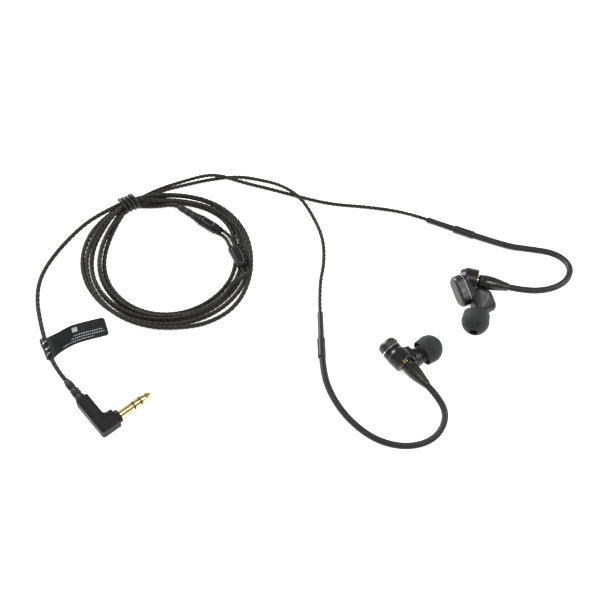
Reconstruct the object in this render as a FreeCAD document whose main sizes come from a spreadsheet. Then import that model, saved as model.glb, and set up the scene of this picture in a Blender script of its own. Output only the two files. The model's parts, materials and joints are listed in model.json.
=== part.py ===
"""Over-ear in-ear monitors: two earpieces on a twisted detachable cable, laid on a table.

Millimetres, +Z up. The origin is on the table, under the middle of the two earpieces with
their formed ear hooks. Each earpiece is drawn in its own frame, whose X axis is the connector's
axis (towards the cable boot), whose Y axis is the nozzle's side and whose Z axis is up; the left
one is the mirror image of the right one. The cable lies coiled on the table, with its tie, tag,
Y-split, slider and right-angle stereo plug.
"""
import FreeCAD, Part
import Sketcher
import math
import os

from FreeCAD import Placement, Rotation, Vector

os.makedirs("parts", exist_ok=True)
doc = FreeCAD.newDocument("in_ear_monitors")

# ---------------------------------------------------------------- driving dimensions

DIMENSIONS = {
    # housing barrel: cover, trim and shell, along the barrel's own axis
    "barrel_length": 12.3, "barrel_height": 7.4, "barrel_corner": 3.5,
    "cover_depth": 3.4, "cover_round": 1.5, "wall": 0.9,
    "trim_depth": 0.4, "trim_proud": 0.12,
    "shell_depth": 4.6, "shell_taper": 2.0, "shell_round": 1.4,
    "mark_radius": 0.8, "mark_depth": 0.25,
    # connector, on the earpiece's X axis
    "axis_height": 9.3, "boss_radius": 4.05, "boss_length": 4.6, "boss_end": 0.7,
    "boss_back": 2.4, "boss_back_radius": 2.7, "behind": 20.0,
    "jack_radius": 1.9, "jack_bore": 1.32, "jack_length": 3.2,
    "barrel_pin": 1.22, "barrel_bore": 0.8, "barrel_inside": 3.0, "centre_pin": 0.4,
    "centre_pin_inside": 4.3, "flange_radius": 2.0, "flange_gap": 0.1,
    "shank_radius": 1.6, "shank_length": 4.7,
    # front chamber, nozzle and ear tip
    "chamber_length": 10.4, "chamber_height": 7.2, "chamber_corner": 3.4,
    "left_chamber_depth": 6.2, "right_chamber_depth": 7.0,
    "chamber_taper": 6.0, "chamber_round": 2.0, "neck_radius": 3.7, "neck_length": 3.8,
    "boot_clear": 3.15, "boot_clear_start": 0.75, "boot_clear_length": 30.0,
    "nozzle_drop": 3.95, "nozzle_flange": 3.3, "nozzle_flange_depth": 0.8,
    "nozzle_radius": 2.5, "nozzle_bore": 1.4, "nozzle_length": 6.4,
    "screen_radius": 1.9, "screen_depth": 0.3, "damper_start": 2.0, "damper_length": 2.0,
    "tip_radius": 5.35, "tip_wall": 0.65, "tip_skirt": 3.2, "skirt_flare": 0.4,
    "tip_core": 3.35, "tip_core_length": 7.35, "tip_fit": 0.05, "tip_bore": 1.6,
    "tip_sleeve": 5.5, "tip_gap": 0.4, "through": 1.0,
    # cable side: boot, ear hook and sleeves
    "boot_radius": 2.65, "boot_barrel": 4.6, "boot_length": 11.4, "boot_small": 1.5,
    "hook_radius": 1.25, "hook_inside": 3.3, "wide_radius": 1.55, "wide_length": 8.3,
    "narrow_radius": 1.15, "narrow_length": 11.3,
    # cords
    "lead_radius": 0.75, "main_radius": 0.9, "lead_spacing": 1.9,
    "coil_outer_long": 33.7, "coil_outer_short": 30.2, "coil_inner_long": 24.6,
    "coil_inner_short": 23.2, "coil_depth": 5.4,
    "tie_radius": 3.4, "tie_length": 9.0, "tie_room": 1.0, "split_room": 0.35,
    # Y-split and slider
    "split_radius": 2.0, "split_length": 8.5, "split_cone": 3.0, "relief_length": 9.0,
    "relief_radius": 1.35, "relief_taper": 0.3, "slider_width": 4.8, "slider_depth": 3.4,
    "slider_length": 10.0, "slider_bore": 0.81, "slider_start": 0.6, "stub_length": 14.5,
    "slider_room": 0.8, "slider_room_before": 3.0, "slider_room_above": 8.0,
    # tag
    "tag_width": 8.6, "tag_length": 22.0, "tag_thickness": 0.3, "tag_sleeve": 1.4,
    "tag_bore": 1.1, "tag_sleeve_length": 9.0, "tag_clear": 1.2,
    # right-angle 3.5 mm stereo plug
    "plug_leg_width": 5.2, "plug_depth": 6.0, "plug_leg": 13.5, "plug_arm_width": 6.4,
    "plug_arm": 5.5, "plug_round": 1.2, "collar_radius": 2.6, "collar_end": 7.0,
    "pin_radius": 1.75, "sleeve_length": 6.0, "insulator": 0.6, "ring_length": 2.4,
    "tip_barrel": 0.6, "tip_neck": 1.4, "tip_waist": 1.2, "tip_flare": 0.5, "tip_nose": 1.9,
    "core_radius": 0.7, "core_start": 1.5, "core_length": 17.0, "plug_relief": 11.0,
    "relief_big": 1.95, "relief_small": 1.35, "relief_rib": 0.72, "relief_neck": 0.35,
}

sheet = doc.addObject("Spreadsheet::Sheet", "Sizes")
for row, (alias, value) in enumerate(DIMENSIONS.items(), start=1):
    sheet.set(f"A{row}", alias)
    sheet.set(f"B{row}", str(value))
    sheet.setAlias(f"B{row}", alias)
doc.recompute()


def size(alias):
    """The value of one spreadsheet cell."""
    return float(sheet.get(alias))


def bind(thing, **sizes):
    """Binds properties of a document object to formulas over the spreadsheet's cells."""
    for name, formula in sizes.items():
        words = [f"Sizes.{word}" if word in DIMENSIONS else word for word in formula.split()]
        thing.setExpression(name, " ".join(words))


# ---------------------------------------------------------------- where things lie

# Connector frames: where the boot's face is, and the direction of its axis from +X.
# seam_at is the middle of the cover's seam, stack points from the cover to the shell, and along
# is the housing's long way, from its connector end to its nozzle end. The chamber is the given
# way along the housing from the seam's middle, and to its side.
EARPIECES = {
    "left": {
        "side": -1, "at": (12.6, 17.4), "yaw": -15.0, "seam_at": (-5.0, 4.6, -1.4),
        "stack": (0.74, -0.67, -0.08), "along": (0.57, 0.68, -0.46),
        "chamber_at": (6.9, 1.0), "nozzle_at": (1.9, 11.0), "splay": 3.0,
    },
    "right": {
        "side": 1, "at": (-16.3, -18.6), "yaw": -49.0, "seam_at": (-8.9, 0.9, -2.4),
        "stack": (0.99, -0.05, -0.14), "along": (-0.12, 0.33, -0.94),
        "chamber_at": (0.8, 2.4), "nozzle_at": (-1.1, 7.9), "splay": 5.0,
    },
}
# Hook routes, from inside the boot to the narrow sleeve.
HOOK_ROUTES = {
    "left": [
        (29.5, 12.9, 9.3), (38.7, 13.5, 8.9), (46.2, 18.0, 7.6), (48.8, 25.8, 5.9),
        (43.6, 32.8, 4.2), (32.7, 35.8, 2.6), (24.2, 37.8, 1.55), (4.9, 45.7, 1.55),
    ],
    "right": [
        (-5.3, -31.3, 9.3), (-1.9, -39.6, 8.6), (-6.4, -47.8, 6.8), (-16.3, -50.4, 5.0),
        (-27.8, -46.8, 3.2), (-37.8, -37.7, 2.0), (-44.2, -27.2, 1.55), (-47.25, -16.4, 1.55),
        (-47.6, -3.3, 1.55),
    ],
}
# Lead routes, from the tie to the narrow sleeve.
LEAD_ROUTES = {
    "left": [
        (-118.7, 57.6, 3.2), (-111.8, 61.6, 3.2), (-102.3, 66.4, 0.9), (-91.3, 68.5, 0.75),
        (-79.3, 67.9, 0.75), (-67.8, 65.1, 0.75), (-55.3, 61.1, 0.75), (-43.3, 57.7, 0.75),
        (-28.3, 56.4, 0.75), (-13.9, 53.4, 1.55), (-5.55, 50.0, 1.55),
    ],
    "right": [
        (-119.9, 59.7, 3.2), (-113.0, 63.7, 3.2), (-103.8, 68.7, 0.9), (-92.3, 70.4, 0.75),
        (-80.8, 71.4, 0.75), (-71.3, 69.4, 0.75), (-63.3, 65.7, 2.7), (-55.8, 60.4, 2.7),
        (-50.3, 52.0, 0.75), (-46.5, 41.8, 0.75), (-46.1, 30.8, 0.75), (-48.2, 19.3, 1.55),
        (-47.9, 8.0, 1.55),
    ],
}
# Main cord, from the plug's strain relief to the tie.
MAIN_ROUTE = [
    (-142.8, -21.7, 3.0), (-146.9, -16.6, 3.0), (-150.7, -7.8, 1.0), (-154.0, 2.4, 0.9),
    (-156.7, 14.3, 0.9), (-155.9, 24.8, 0.9), (-150.3, 35.8, 0.9), (-142.0, 46.4, 1.2),
    (-135.0, 51.0, 3.2), (-127.7, 55.2, 3.2),
]
TIE_AT = (-123.2, 56.4)
TIE_YAW = 30.0
COIL_AT = (-107.2, 31.3)
SPLIT_END = (-86.7, 43.4, 3.0)
SPLIT_YAW = -35.0
SLIDER_AT = (-81.9, 37.0, 3.0)
SLIDER_YAW = -65.0
PLUG_AT = (-127.4, -40.7)
PLUG_YAW = 39.0
TAG_AT = (-149.0, -11.8, 1.75)
TAG_YAW = 113.4
# The pieces sealed in each housing: length, width and height, and the middle of one end.
SEALED_PIECES = {
    "low_driver": ((4.0, 5.8, 2.4), Vector(-2.3, 0, -1.35)),
    "high_driver": ((3.8, 4.6, 2.2), Vector(-2.3, -0.6, 1.35)),
    "crossover_board": ((0.6, 5.6, 4.2), Vector(1.9, 0.4, 0)),
}
PLUG_RELIEF_RIBS = 3

subparts = {}


def keep(node, thing, placement=None):
    """Names one finished sub-part, and puts it in its place."""
    thing.Label = node
    if placement is not None:
        thing.Placement = placement
    subparts[node] = thing
    return thing


def heading(yaw):
    angle = math.radians(yaw)
    return Vector(math.cos(angle), math.sin(angle), 0)


def lie_along(at, yaw):
    """A placement whose X axis is the given direction on the table."""
    return Placement(Vector(*at), Rotation(Vector(0, 0, 1), yaw))


X_AXIS = Rotation(Vector(0, 1, 0), 90)  # turns a primitive's Z axis to +X


# ---------------------------------------------------------------- primitives and booleans

def cylinder(name, radius, height, at=Vector(), turn=X_AXIS):
    thing = doc.addObject("Part::Cylinder", name)
    bind(thing, Radius=radius, Height=height)
    thing.Placement = Placement(at, turn)
    return thing


def cone(name, start, end, height, at=Vector(), turn=X_AXIS):
    thing = doc.addObject("Part::Cone", name)
    bind(thing, Radius1=start, Radius2=end, Height=height)
    thing.Placement = Placement(at, turn)
    return thing


def box(name, length, width, height, at=Vector()):
    """A box that is centred across its width and height, and starts at X = at.x."""
    thing = doc.addObject("Part::Box", name)
    bind(thing, Length=length, Width=width, Height=height)
    doc.recompute()
    thing.Placement.Base = at - Vector(0, thing.Width.Value / 2, thing.Height.Value / 2)
    return thing


def sphere(name, radius, at=Vector(), turn=Rotation(), lowest="-90"):
    thing = doc.addObject("Part::Sphere", name)
    bind(thing, Radius=radius, Angle1=lowest)
    thing.Placement = Placement(at, turn)
    return thing


def fuse(name, *things):
    joined = doc.addObject("Part::MultiFuse", name)
    joined.Shapes = list(things)
    joined.Refine = True
    return joined


def cut(name, base, *tools):
    """Takes each tool out of the base."""
    for count, tool in enumerate(tools, start=1):
        less = doc.addObject("Part::Cut", f"{name}_{count}")
        less.Base = base
        less.Tool = tool
        base = less
    return base


# ---------------------------------------------------------------- PartDesign bodies

def origin_plane(body, role):
    return next(part for part in body.Origin.OriginFeatures if part.Role == role)


def sketch_on(body, name, role, offset=Vector()):
    sketch = body.newObject("Sketcher::SketchObject", name)
    sketch.AttachmentSupport = (origin_plane(body, role), [""])
    sketch.MapMode = "FlatFace"
    sketch.AttachmentOffset = Placement(offset, Rotation())
    return sketch


def rounded_rectangle(sketch, width, height, corner):
    """A rounded rectangle about the sketch's origin, its three sizes bound to formulas."""
    half_w, half_h, turn = 4.0, 3.0, 1.0
    low, high = (half_w - turn, half_h - turn), (half_w, half_h)
    lines = [
        ((-low[0], -high[1]), (low[0], -high[1])), ((high[0], -low[1]), (high[0], low[1])),
        ((low[0], high[1]), (-low[0], high[1])), ((-high[0], low[1]), (-high[0], -low[1])),
    ]
    centres = [(low[0], -low[1]), (low[0], low[1]), (-low[0], low[1]), (-low[0], -low[1])]
    for quarter, ((start, end), centre) in enumerate(zip(lines, centres)):
        sketch.addGeometry(Part.LineSegment(Vector(*start, 0), Vector(*end, 0)), False)
        circle = Part.Circle(Vector(*centre, 0), Vector(0, 0, 1), turn)
        first = (quarter - 1) * math.pi / 2
        sketch.addGeometry(Part.ArcOfCircle(circle, first, first + math.pi / 2), False)
    for index in range(8):
        sketch.addConstraint(Sketcher.Constraint("Tangent", index, 2, (index + 1) % 8, 1))
    for line, kind in ((0, "Horizontal"), (2, "Vertical"), (4, "Horizontal"), (6, "Vertical")):
        sketch.addConstraint(Sketcher.Constraint(kind, line))
    for arc in (3, 5, 7):
        sketch.addConstraint(Sketcher.Constraint("Equal", 1, arc))
    sketch.addConstraint(Sketcher.Constraint("Symmetric", 5, 3, 1, 3, -1, 1))
    for name, formula, constraint in (
        ("corner", corner, Sketcher.Constraint("Radius", 1, turn)),
        ("width", width, Sketcher.Constraint("DistanceX", 6, 2, 2, 1, 2 * half_w)),
        ("height", height, Sketcher.Constraint("DistanceY", 0, 1, 4, 1, 2 * half_h)),
    ):
        index = sketch.addConstraint(constraint)
        sketch.renameConstraint(index, name)
        bind(sketch, **{f"Constraints.{name}": formula})


def barrel_block(name, width, height, corner, length, start=0.0, taper=None, rounding=None):
    """A rounded block along +X of its own frame, with a draft and a rounded far end."""
    body = doc.addObject("PartDesign::Body", name)
    sketch = sketch_on(body, f"{name}_outline", "YZ_Plane", Vector(0, 0, start))
    rounded_rectangle(sketch, width, height, corner)
    pad = body.newObject("PartDesign::Pad", f"{name}_pad")
    pad.Profile = sketch
    bind(pad, Length=length)
    if taper:
        bind(pad, TaperAngle=taper)
    doc.recompute()
    if rounding:
        far = max(pad.Shape.Faces, key=lambda face: face.CenterOfMass.x)
        edges = [
            f"Edge{number}"
            for number, edge in enumerate(pad.Shape.Edges, start=1)
            if any(edge.isSame(rim) for rim in far.Edges)
        ]
        fillet = body.newObject("PartDesign::Fillet", f"{name}_round")
        fillet.Base = (pad, edges)
        bind(fillet, Radius=rounding)
        body.Tip = fillet
    doc.recompute()
    return body


def ellipse_ring(name, outer, inner, depth):
    """A flat ring between two ellipses, standing on the table."""
    body = doc.addObject("PartDesign::Body", name)
    sketch = sketch_on(body, f"{name}_outline", "XY_Plane")
    for index, (long_side, short_side) in enumerate((outer, inner)):
        ellipse = Part.Ellipse(Vector(), size(long_side), size(short_side))
        sketch.addGeometry(ellipse, False)
        sketch.exposeInternalGeometry(index * 5)
    pad = body.newObject("PartDesign::Pad", f"{name}_pad")
    pad.Profile = sketch
    bind(pad, Length=depth)
    doc.recompute()
    return body


# ---------------------------------------------------------------- cord tubes

def arc_path(points):
    """Straight runs joined by tangent arcs, each as large as its two runs allow."""
    corners = [Vector(*point) for point in points]
    edges, radii, here = [], [], corners[0]
    for before, corner, after in zip(corners, corners[1:], corners[2:]):
        arriving = (corner - before).normalize()
        leaving = (after - corner).normalize()
        half_turn = arriving.getAngle(leaving) / 2
        cutback = 0.45 * min((corner - before).Length, (after - corner).Length)
        start = corner - arriving * cutback
        end = corner + leaving * cutback
        radius = cutback / math.tan(half_turn)
        towards_centre = (leaving - arriving).normalize()
        middle = corner + towards_centre * (radius / math.cos(half_turn) - radius)
        edges.append(Part.LineSegment(here, start).toShape())
        edges.append(Part.Arc(start, middle, end).toShape())
        radii.append(radius)
        here = end
    edges.append(Part.LineSegment(here, corners[-1]).toShape())
    return Part.Wire(edges), radii


def tube(node, points, radius):
    """A round tube along a route, as one closed solid."""
    path, radii = arc_path(points)
    first = (Vector(*points[1]) - Vector(*points[0])).normalize()
    ring = Part.Wire(Part.Circle(Vector(*points[0]), first, radius).toShape())
    solid = path.makePipeShell([ring], True, False)
    ratio = solid.Volume / (math.pi * radius ** 2 * path.Length)
    print(f"{node}: length {path.Length:.1f}, least radius {min(radii):.1f}, volume ratio {ratio:.4f}")
    feature = doc.addObject("Part::Feature", node)
    feature.Shape = solid
    return keep(node, feature)


# ---------------------------------------------------------------- one earpiece

def housing(name, side, seat, seam_at, stack, along, chamber_at):
    """Cover, trim ring, shell and the pieces sealed inside, stacked on the housing's own X axis."""
    mirror = Vector(1, side, 1)
    forward, across = (
        Vector(way[0] * mirror.x, way[1] * mirror.y, way[2] * mirror.z) for way in (stack, along)
    )
    seam = Vector(seam_at[0], seam_at[1] * side, seam_at[2])
    turn = Rotation(forward, across * side, Vector(), "XYZ")
    barrel = Placement(seam, turn)
    flipped = barrel.multiply(Placement(Vector(), Rotation(Vector(0, 0, 1), 180)))

    def in_barrel(thing, placement=barrel):
        thing.Placement = placement.multiply(thing.Placement)
        return thing

    outline = ("barrel_length", "barrel_height", "barrel_corner")
    hollow = ("barrel_length - 2 * wall", "barrel_height - 2 * wall", "barrel_corner - wall")
    proud = ("barrel_length + 2 * trim_proud", "barrel_height + 2 * trim_proud",
             "barrel_corner + trim_proud")

    skin = barrel_block(f"{name}_cover_skin", *outline, "cover_depth", rounding="cover_round")
    room = barrel_block(f"{name}_cover_room", *hollow, "cover_depth - wall")
    cover = cut(f"{name}_outer_cover", in_barrel(skin, flipped), in_barrel(room, flipped))
    keep(f"{name}_outer_cover", cover, seat)

    ring = barrel_block(f"{name}_trim_block", *proud, "trim_depth")
    eye = barrel_block(f"{name}_trim_eye", *hollow, "trim_depth")
    keep(f"{name}_trim_ring", cut(f"{name}_trim_ring", in_barrel(ring), in_barrel(eye)), seat)

    # The shell is a shallow block on the ring, and a lobe round the connector's axis. The lobe
    # stops at the ring.
    shell_start = size("trim_depth")
    block = barrel_block(f"{name}_shell_block", *outline, "shell_depth", shell_start,
                         "- shell_taper", "shell_round")
    room = barrel_block(f"{name}_shell_room", *hollow, "shell_depth - wall", shell_start,
                        "- shell_taper")
    in_barrel(block)
    in_barrel(room)
    boss_at = -size("boss_end") - size("boss_length")
    boss_body = cylinder(f"{name}_boss_body", "boss_radius", "boss_length", Vector(boss_at, 0, 0))
    boss_back = cone(f"{name}_boss_back", "boss_back_radius", "boss_radius", "boss_back",
                     Vector(boss_at - size("boss_back"), 0, 0))
    behind = box(f"{name}_behind", "behind", "2 * behind", "2 * behind",
                 Vector(shell_start - size("behind"), 0, 0))
    boss = cut(f"{name}_boss", fuse(f"{name}_boss_whole", boss_body, boss_back),
               in_barrel(behind))
    solid = fuse(f"{name}_shell_solid", block, boss)
    boot_room = cylinder(f"{name}_shell_boot_room", "boot_clear", "boot_clear_length",
                         Vector(-size("boss_end"), 0, 0))
    jack_hole = cylinder(f"{name}_jack_hole", "jack_radius", "jack_length + through",
                         Vector(-size("boss_end") - size("jack_length"), 0, 0))
    keep(f"{name}_main_shell", cut(f"{name}_main_shell", solid, room, boot_room, jack_hole),
         seat)

    mark_at = Vector(-size("cover_depth") / 2, 0, size("barrel_height") / 2)
    mark = cylinder(f"{name}_side_mark", "mark_radius", "mark_depth", mark_at, Rotation())
    keep(f"{name}_side_mark", in_barrel(mark), seat.multiply(mark.Placement))

    for piece, (sizes, middle) in SEALED_PIECES.items():
        inner = box(f"{name}_{piece}", *(str(value) for value in sizes), middle)
        keep(f"{name}_{piece}", in_barrel(inner), seat.multiply(inner.Placement))

    # The front chamber continues the stack, next to the boot, and carries the nozzle's neck.
    place = barrel.multiply(Placement(
        Vector(0, chamber_at[0] * side, chamber_at[1]), Rotation()))
    chamber = barrel_block(f"{name}_chamber_block", "chamber_length", "chamber_height",
                           "chamber_corner", f"{name}_chamber_depth",
                           shell_start + size("shell_depth") - size("chamber_round"),
                           "- chamber_taper", "chamber_round")
    return in_barrel(chamber, place), (block, boss, behind)


def front_chamber(name, seat, chamber, behind, nozzle):
    """The chamber in front of the shell, with the neck that carries the nozzle."""
    neck_place = nozzle.multiply(Placement(Vector(0, 0, -size("neck_length")), Rotation()))
    neck = cone(f"{name}_chamber_neck", "neck_radius", "nozzle_flange", "neck_length")
    neck.Placement = neck_place
    clear = cylinder(f"{name}_boot_clear", "boot_clear", "boot_clear_length",
                     Vector(-size("boot_clear_start"), 0, 0))
    throat = cylinder(f"{name}_chamber_throat", "nozzle_bore", "neck_length")
    throat.Placement = neck_place
    tip_room = cylinder(f"{name}_chamber_tip_room", "tip_radius + tip_gap", "behind")
    tip_room.Placement = nozzle
    solid = fuse(f"{name}_chamber_solid", chamber, neck)
    hollowed = cut(f"{name}_front_chamber", solid, *behind, clear, throat, tip_room)
    keep(f"{name}_front_chamber", hollowed, seat)


def nozzle_and_tip(name, seat, nozzle):
    """Nozzle, its screen and damper, and the ear tip, all on the nozzle's axis."""
    upright = Rotation()
    flange = cylinder(f"{name}_nozzle_flange", "nozzle_flange", "nozzle_flange_depth",
                      Vector(), upright)
    pipe = cylinder(f"{name}_nozzle_pipe", "nozzle_radius", "nozzle_length", Vector(), upright)
    bore = cylinder(f"{name}_nozzle_hole", "nozzle_bore", "nozzle_length", Vector(), upright)
    screen_at = Vector(0, 0, size("nozzle_length") - size("screen_depth"))
    seat_cut = cylinder(f"{name}_screen_seat", "screen_radius", "screen_depth", screen_at, upright)
    body = cut(f"{name}_nozzle", fuse(f"{name}_nozzle_solid", flange, pipe), bore, seat_cut)
    keep(f"{name}_nozzle", body, seat.multiply(nozzle))

    screen = cylinder(f"{name}_nozzle_screen", "screen_radius", "screen_depth", screen_at, upright)
    keep(f"{name}_nozzle_screen", screen, seat.multiply(nozzle).multiply(screen.Placement))

    damper_at = Vector(0, 0, size("damper_start"))
    plug = cylinder(f"{name}_damper_plug", "nozzle_bore", "damper_length", damper_at, upright)
    eye = cylinder(f"{name}_damper_eye", "nozzle_bore / 2", "damper_length", damper_at, upright)
    keep(f"{name}_acoustic_damper", cut(f"{name}_acoustic_damper", plug, eye),
         seat.multiply(nozzle))

    # The ear tip: a dome with a skirt, round a core that slides on the nozzle.
    back = size("nozzle_flange_depth") + size("tip_gap")
    crown = Vector(0, 0, back + size("tip_skirt"))
    dome = sphere(f"{name}_tip_dome", "tip_radius", crown, upright, "0")
    skirt = cone(f"{name}_tip_skirt", "tip_radius - skirt_flare", "tip_radius", "tip_skirt",
                 Vector(0, 0, back), upright)
    dome_room = sphere(f"{name}_tip_dome_room", "tip_radius - tip_wall", crown, upright, "0")
    skirt_room = cone(f"{name}_tip_skirt_room", "tip_radius - tip_wall - skirt_flare / 2",
                      "tip_radius - tip_wall", "tip_skirt", Vector(0, 0, back), upright)
    core = cylinder(f"{name}_tip_core", "tip_core", "tip_core_length", Vector(0, 0, back), upright)
    sleeve_bore = cylinder(f"{name}_tip_sleeve_bore", "nozzle_radius + tip_fit",
                           "tip_sleeve", Vector(0, 0, back), upright)
    sound_bore = cylinder(f"{name}_tip_sound_bore", "tip_bore", "tip_skirt + tip_radius + through",
                          Vector(0, 0, back), upright)
    outside = fuse(f"{name}_tip_outside", dome, skirt)
    inside = fuse(f"{name}_tip_inside", dome_room, skirt_room)
    shell = cut(f"{name}_tip_shell", outside, inside)
    tip = cut(f"{name}_ear_tip", fuse(f"{name}_tip_solid", shell, core), sleeve_bore, sound_bore)
    keep(f"{name}_ear_tip", tip, seat.multiply(nozzle))


def connector(name, seat):
    """The socket in the earpiece, and the plug that turns in it."""
    jack_at = Vector(-size("boss_end") - size("jack_length"), 0, 0)
    can = cylinder(f"{name}_jack_can", "jack_radius", "jack_length", jack_at)
    hole = cylinder(f"{name}_jack_bore", "jack_bore", "jack_length", jack_at)
    keep(f"{name}_connector_jack", cut(f"{name}_connector_jack", can, hole), seat)

    barrel_at = Vector(-size("boss_end") - size("barrel_inside"), 0, 0)
    barrel = cylinder(f"{name}_plug_barrel", "barrel_pin", "boss_end + barrel_inside", barrel_at)
    flange = cylinder(f"{name}_plug_flange", "flange_radius", "boss_end - flange_gap",
                      Vector(size("flange_gap") - size("boss_end"), 0, 0))
    shank = cylinder(f"{name}_plug_shank", "shank_radius", "shank_length", Vector(0, 0, 0))
    pin_length = "boss_end + centre_pin_inside + flange_gap"
    bore = cylinder(f"{name}_plug_bore", "barrel_bore", pin_length, barrel_at)
    solid = fuse(f"{name}_plug_solid", barrel, flange, shank)
    keep(f"{name}_connector_plug", cut(f"{name}_connector_plug", solid, bore), seat)

    pin = cylinder(f"{name}_centre_pin", "centre_pin", pin_length, barrel_at)
    keep(f"{name}_centre_pin", pin, seat.multiply(pin.Placement))


def cable_end(name, seat, route, lead):
    """Boot, ear hook, the two sleeves and the twisted lead of one side."""
    barrel = cylinder(f"{name}_boot_barrel", "boot_radius", "boot_barrel", Vector(0, 0, 0))
    taper = cone(f"{name}_boot_taper", "boot_radius", "boot_small", "boot_length - boot_barrel",
                 Vector(size("boot_barrel"), 0, 0))
    shank_hole = cylinder(f"{name}_boot_shank_hole", "shank_radius", "shank_length",
                          Vector(0, 0, 0))
    hook_start = size("boot_length") - size("hook_inside")
    hook_hole = cylinder(f"{name}_boot_hook_hole", "hook_radius", "hook_inside",
                         Vector(hook_start, 0, 0))
    solid = fuse(f"{name}_boot_solid", barrel, taper)
    keep(f"{name}_connector_boot", cut(f"{name}_connector_boot", solid, shank_hole, hook_hole),
         seat)

    start = seat.multVec(Vector(hook_start, 0, 0))
    tube(f"{name}_ear_hook", [tuple(start)] + route, size("hook_radius"))

    end = Vector(*route[-1])
    direction = (Vector(*lead[-2]) - Vector(*lead[-1])).normalize()
    along = Rotation(Vector(0, 0, 1), direction)
    inner_end = end - direction * size("wide_length")
    wide = cylinder(f"{name}_wide_block", "wide_radius", "wide_length", inner_end, along)
    hole = cylinder(f"{name}_wide_hole", "hook_radius", "wide_length", inner_end, along)
    keep(f"{name}_wide_sleeve", cut(f"{name}_wide_sleeve", wide, hole))
    keep(f"{name}_narrow_sleeve",
         cylinder(f"{name}_narrow_sleeve", "narrow_radius", "narrow_length", end, along))
    tube(f"{name}_lead", lead, size("lead_radius"))


def earpiece(name, side, at, yaw, seam_at, stack, along, chamber_at, nozzle_at, splay):
    seat = lie_along((*at, size("axis_height")), yaw)
    spread = math.radians(splay)
    out = Vector(math.sin(spread), side * math.cos(spread), 0)
    root = Vector(nozzle_at[0], side * nozzle_at[1], -size("nozzle_drop"))
    nozzle = Placement(root, Rotation(Vector(0, 0, 1), out))
    chamber, behind = housing(name, side, seat, seam_at, stack, along, chamber_at)
    front_chamber(name, seat, chamber, behind, nozzle)
    nozzle_and_tip(name, seat, nozzle)
    connector(name, seat)
    cable_end(name, seat, HOOK_ROUTES[name], LEAD_ROUTES[name])


# ---------------------------------------------------------------- plug

def plug():
    """Right-angle stereo plug: L body, strain relief and the pin's contacts and insulators."""
    seat = lie_along((*PLUG_AT, size("plug_depth") / 2), PLUG_YAW)
    leg = doc.addObject("Part::Box", "plug_leg_box")
    bind(leg, Length="plug_leg_width", Width="plug_leg + plug_arm_width / 2", Height="plug_depth")
    leg.Placement.Base = Vector(-size("plug_leg_width") / 2, -size("plug_arm_width") / 2,
                                -size("plug_depth") / 2)
    arm = box("plug_arm_box", "plug_arm + plug_leg_width / 2", "plug_arm_width", "plug_depth",
              Vector(-size("plug_leg_width") / 2, 0, 0))
    elbow = fuse("plug_elbow", leg, arm)
    doc.recompute()
    rounded = doc.addObject("Part::Fillet", "plug_elbow_round")
    rounded.Base = elbow
    rounded.Edges = [
        (number, size("plug_round"), size("plug_round"))
        for number, edge in enumerate(elbow.Shape.Edges, start=1)
        if edge.BoundBox.XMin < size("plug_arm") - 0.01
        and edge.BoundBox.YMin < size("plug_leg") - 0.01
    ]
    collar = cylinder("plug_collar", "collar_radius", "collar_end - plug_arm",
                      Vector(size("plug_arm"), 0, 0))
    core_hole = cylinder("plug_core_hole", "core_radius", "collar_end", Vector(0, 0, 0))
    body = cut("plug_housing", fuse("plug_body", rounded, collar), core_hole)
    keep("plug_housing", body, seat)

    to_cord = Rotation(Vector(0, 0, 1), Vector(0, 1, 0))
    step = size("plug_relief") / PLUG_RELIEF_RIBS
    drop = (size("relief_big") - size("relief_small")) / PLUG_RELIEF_RIBS
    ribs = []
    for index in range(PLUG_RELIEF_RIBS):
        foot = Vector(0, size("plug_leg") + step * index, 0)
        start = size("relief_big") - drop * index
        thin = start - drop
        ribs.append(cone(f"plug_relief_rib_{index}", str(start), str(thin),
                         f"{step} * relief_rib", foot, to_cord))
        ribs.append(cylinder(f"plug_relief_neck_{index}", f"{thin} - relief_neck", str(step),
                             foot, to_cord))
    keep("plug_strain_relief", fuse("plug_strain_relief", *ribs), seat)

    first = size("collar_end")
    second = first + size("sleeve_length")
    third = second + size("insulator") + size("ring_length")
    nose = third + size("insulator")

    def contact(node, start, length):
        tube_block = cylinder(f"{node}_block", "pin_radius", length, Vector(start, 0, 0))
        hole = cylinder(f"{node}_hole", "core_radius", length, Vector(start, 0, 0))
        return cut(node, tube_block, hole)

    keep("plug_sleeve_contact", contact("plug_sleeve_contact", first, "sleeve_length"), seat)
    keep("plug_ring_contact",
         contact("plug_ring_contact", second + size("insulator"), "ring_length"), seat)
    keep("plug_near_insulator", contact("plug_near_insulator", second, "insulator"), seat)
    keep("plug_far_insulator", contact("plug_far_insulator", third, "insulator"), seat)
    neck = nose + size("tip_barrel")
    waist = neck + size("tip_neck")
    flare = waist + size("tip_flare")
    tip = fuse(
        "plug_tip_contact",
        cylinder("plug_tip_core", "core_radius", "core_length", Vector(size("core_start"), 0, 0)),
        cylinder("plug_tip_barrel", "pin_radius", "tip_barrel", Vector(nose, 0, 0)),
        cone("plug_tip_neck", "pin_radius", "tip_waist", "tip_neck", Vector(neck, 0, 0)),
        cone("plug_tip_flare", "tip_waist", "pin_radius - 0.05", "tip_flare",
             Vector(waist, 0, 0)),
        cone("plug_tip_nose", "pin_radius - 0.05", "core_radius", "tip_nose",
             Vector(flare, 0, 0)),
    )
    keep("plug_tip_contact", tip, seat)


# ---------------------------------------------------------------- coil, tie, split and slider

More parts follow.
